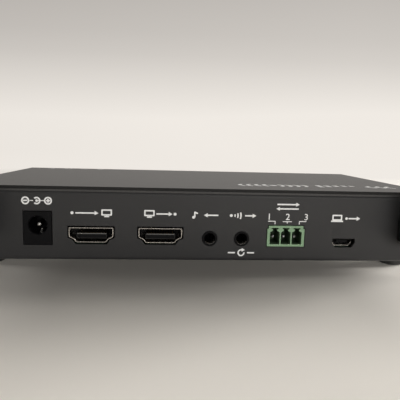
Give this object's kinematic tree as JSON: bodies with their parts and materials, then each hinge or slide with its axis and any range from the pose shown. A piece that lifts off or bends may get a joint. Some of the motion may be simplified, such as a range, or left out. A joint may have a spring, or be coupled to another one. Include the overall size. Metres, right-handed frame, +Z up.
{
  "type": "wireless video extender",
  "caption": "Flat dark sheet-steel box on four rubber feet with power, video, sound, terminal and data sockets in one long wall and a folding antenna at each end of it.",
  "frame": {"origin": "on the surface the box stands on, under the middle of its outline with the antennas up", "axes": "+Z up, +X to the right when looking at the socket wall, -Y out of the socket wall"},
  "size_m": [0.165, 0.0996, 0.0849],
  "materials": {
    "case_coating": "fine textured satin dark grey coating",
    "black_screws": "black oxide steel",
    "foot_rubber": "matt black rubber",
    "bright_steel": "zinc plated steel",
    "circuit_board": "green solder mask",
    "black_plastic": "moulded black plastic",
    "socket_metal": "nickel plated sheet",
    "gold_contacts": "gold plated contacts",
    "bright_pins": "tin plated pins",
    "green_plastic": "moulded green plastic",
    "chip_black": "moulded chip package",
    "bare_aluminium": "bare aluminium",
    "pad_grey": "soft grey pad",
    "clear_plastic": "clear light pipe",
    "antenna_plastic": "moulded satin black plastic",
    "lead_jacket": "thin coaxial lead jacket"
  },
  "bodies": {
    "case": {"base_tray": "case_coating", "top_cover": "case_coating", "cover_screws": "black_screws", "rubber_feet": "foot_rubber", "board_pillars": "bright_steel", "board_screws": "bright_steel", "radio_card_spacers": "bright_steel", "radio_shield": "bright_steel", "main_board": "circuit_board", "radio_card": "circuit_board", "power_housing": "black_plastic", "sound_socket_body": "black_plastic", "infrared_socket_body": "black_plastic", "video_out_insert": "black_plastic", "video_in_insert": "black_plastic", "data_insert": "black_plastic", "radio_card_socket": "black_plastic", "video_out_shell": "socket_metal", "video_in_shell": "socket_metal", "data_shell": "socket_metal", "video_out_contacts": "gold_contacts", "video_in_contacts": "gold_contacts", "sound_socket_contacts": "gold_contacts", "infrared_socket_contacts": "gold_contacts", "left_lead_plug": "gold_contacts", "right_lead_plug": "gold_contacts", "power_pin": "bright_pins", "power_spring": "bright_pins", "terminal_pins": "bright_pins", "terminal_housing": "green_plastic", "video_chip": "chip_black", "memory_chips": "chip_black", "power_inductors": "chip_black", "regulators": "chip_black", "timing_crystal": "chip_black", "sound_chip": "chip_black", "serial_chip": "chip_black", "data_hub_chip": "chip_black", "filter_capacitors": "chip_black", "chip_cooler": "bare_aluminium", "thermal_pad": "pad_grey", "status_lamps": "clear_plastic", "light_pipes": "clear_plastic", "left_aerial_lead": "lead_jacket", "right_aerial_lead": "lead_jacket"},
    "left_swivel": {"left_antenna_swivel": "antenna_plastic", "left_antenna_nut": "bright_steel", "left_hinge_pin": "bright_steel"},
    "left_rod": {"left_antenna_rod": "antenna_plastic", "left_antenna_cap": "antenna_plastic", "left_antenna_element": "gold_contacts"},
    "right_swivel": {"right_antenna_swivel": "antenna_plastic", "right_antenna_nut": "bright_steel", "right_hinge_pin": "bright_steel"},
    "right_rod": {"right_antenna_rod": "antenna_plastic", "right_antenna_cap": "antenna_plastic", "right_antenna_element": "gold_contacts"}
  },
  "joints": [
    {"name": "left_antenna_turn", "type": "hinge", "parent": "case", "child": "left_swivel", "pos_m": [-0.07235, -0.03438, 0.0159], "axis": [0, 1, 0], "range_deg": [-90, 90]},
    {"name": "left_antenna_fold", "type": "hinge", "parent": "left_swivel", "child": "left_rod", "pos_m": [-0.07235, -0.04487, 0.0159], "axis": [1, 0, 0], "range_deg": [0, 90]},
    {"name": "right_antenna_turn", "type": "hinge", "parent": "case", "child": "right_swivel", "pos_m": [0.07235, -0.03438, 0.0159], "axis": [0, 1, 0], "range_deg": [-90, 90]},
    {"name": "right_antenna_fold", "type": "hinge", "parent": "right_swivel", "child": "right_rod", "pos_m": [0.07235, -0.04487, 0.0159], "axis": [1, 0, 0], "range_deg": [0, 90]}
  ]
}
